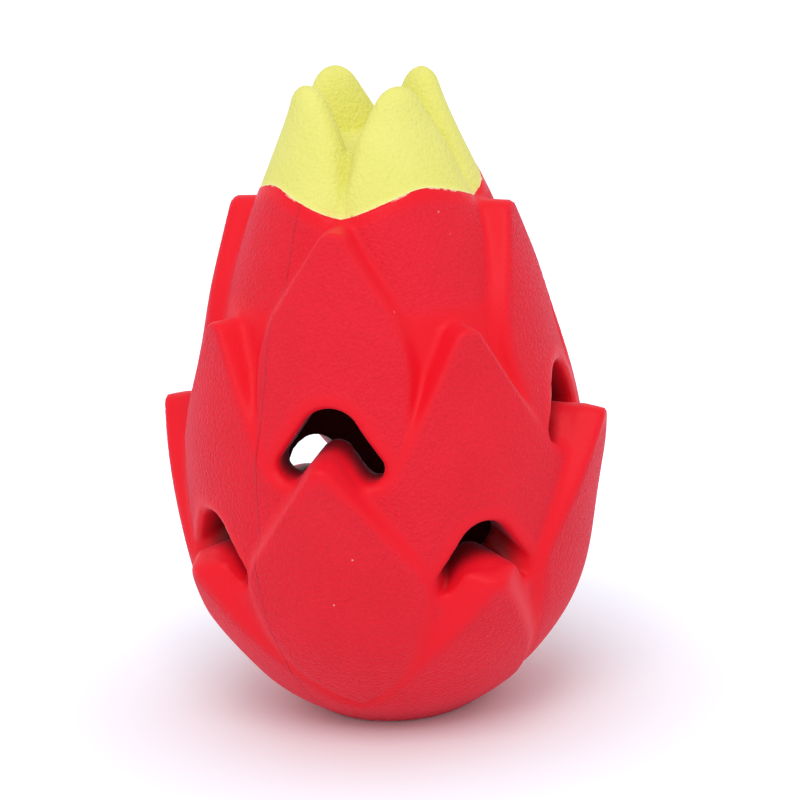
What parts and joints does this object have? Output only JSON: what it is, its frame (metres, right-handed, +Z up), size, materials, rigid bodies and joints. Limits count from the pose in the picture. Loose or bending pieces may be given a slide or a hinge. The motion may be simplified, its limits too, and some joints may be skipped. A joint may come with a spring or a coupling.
{
  "type": "rubber chew toy",
  "caption": "Hollow fruit-shaped rubber chew toy with overlapping scales, chevron treat slots and a bonded leaf crown.",
  "frame": {"origin": "centre of the standing face, on the floor", "axes": "+Z up through the crown, a column of scales with an upper slot faces -Y and each other quarter turn from it"},
  "size_m": [0.0896, 0.0896, 0.126],
  "materials": {
    "red_rubber": "moulded, pebbled skin, satin sheen",
    "yellow_green_rubber": "moulded, pebbled skin, satin sheen"
  },
  "bodies": {
    "root": {"shell": "red_rubber", "crown": "yellow_green_rubber"}
  },
  "joints": []
}
